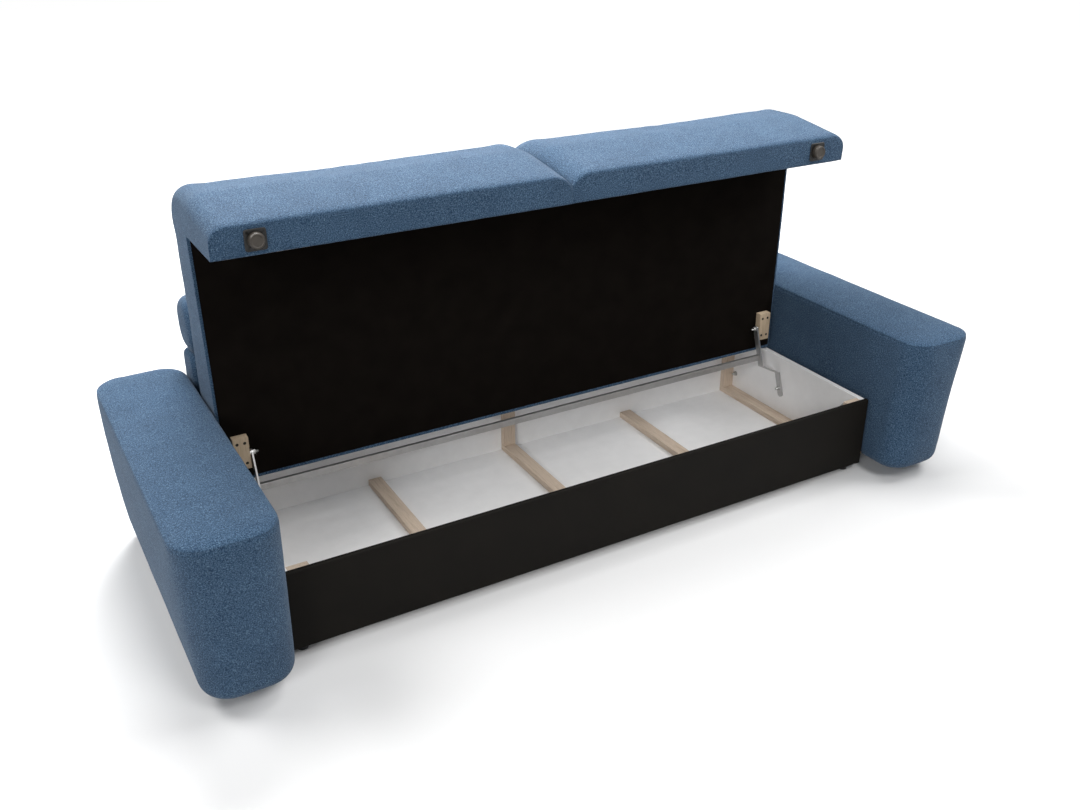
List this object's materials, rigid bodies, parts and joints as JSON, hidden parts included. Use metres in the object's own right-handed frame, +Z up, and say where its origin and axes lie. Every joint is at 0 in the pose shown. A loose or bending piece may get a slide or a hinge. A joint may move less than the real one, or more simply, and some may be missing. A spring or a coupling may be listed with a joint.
{
  "type": "storage sofa with lift up seat",
  "caption": "Upholstered storage sofa with thick padded arms and a rolled back; the seat swings up on side levers and a cross bar to open a white bedding box.",
  "frame": {"origin": "on the floor, at the bottom centre of the sofa's bounding box with the seat raised", "axes": "+Z up, -Y the side one sits down from, +X along the sofa"},
  "size_m": [2.544, 1.05, 1.1321],
  "materials": {
    "blue_fabric": "short looped upholstery cloth over foam, matte",
    "black_felt": "thin black nonwoven, matte",
    "black_panel": "board wrapped in black woven cloth, matte",
    "white_board": "white melamine chipboard, satin",
    "white_hardboard": "white faced hardboard, satin",
    "raw_wood": "planed softwood, unfinished",
    "board": "raw board, unfinished",
    "black_plastic": "moulded, matte",
    "steel": "zinc plated strip and tube, satin",
    "dark_screw": "black phosphate, satin",
    "zinc": "zinc plated, satin"
  },
  "bodies": {
    "base": {"arm_board_left": "board", "arm_board_right": "board", "arm_bolts": "zinc", "arm_nuts": "zinc", "arm_pad_left": "blue_fabric", "arm_pad_right": "blue_fabric", "back_bearer_high": "raw_wood", "back_bearer_low": "raw_wood", "back_board": "board", "back_cushion_left": "blue_fabric", "back_cushion_right": "blue_fabric", "corner_block_left": "raw_wood", "corner_block_right": "raw_wood", "floor_batten_centre": "raw_wood", "floor_batten_centre_left": "raw_wood", "floor_batten_centre_right": "raw_wood", "floor_batten_left": "raw_wood", "floor_batten_right": "raw_wood", "floor_panel": "white_hardboard", "foot_front_left": "black_plastic", "foot_front_right": "black_plastic", "foot_rear_left": "black_plastic", "foot_rear_right": "black_plastic", "front_panel": "black_panel", "head_roll_left": "blue_fabric", "head_roll_right": "blue_fabric", "lever_pivot_nuts": "zinc", "lever_pivots": "zinc", "rear_post_centre": "raw_wood", "rear_post_left": "raw_wood", "rear_post_right": "raw_wood", "rear_wall": "white_board", "side_wall_left": "white_board", "side_wall_right": "white_board"},
    "lift": {"lever_left": "steel", "lever_right": "steel", "cross_bar": "steel"},
    "seat": {"seat_board": "board", "apron_board": "board", "seat_cover": "black_felt", "seat_pad_left": "blue_fabric", "seat_pad_right": "blue_fabric", "hinge_block_left": "raw_wood", "hinge_block_right": "raw_wood", "block_screws": "dark_screw", "seat_pivots": "zinc", "seat_pivot_nuts": "zinc", "glide_plate_left": "black_plastic", "glide_plate_right": "black_plastic", "glide_left": "black_plastic", "glide_right": "black_plastic"}
  },
  "joints": [
    {"name": "lever_swing", "type": "hinge", "parent": "base", "child": "lift", "pos_m": [0, 0.0425, 0.152], "axis": [1, 0, 0], "range_deg": [-38.06, 0]},
    {"name": "seat_tilt", "type": "hinge", "parent": "lift", "child": "seat", "pos_m": [0, 0.138, 0.362], "axis": [1, 0, 0], "range_deg": [0, 128]}
  ],
  "couplings": [
    {"joint": "lever_swing", "follows": "seat_tilt", "ratio": -0.29714}
  ]
}
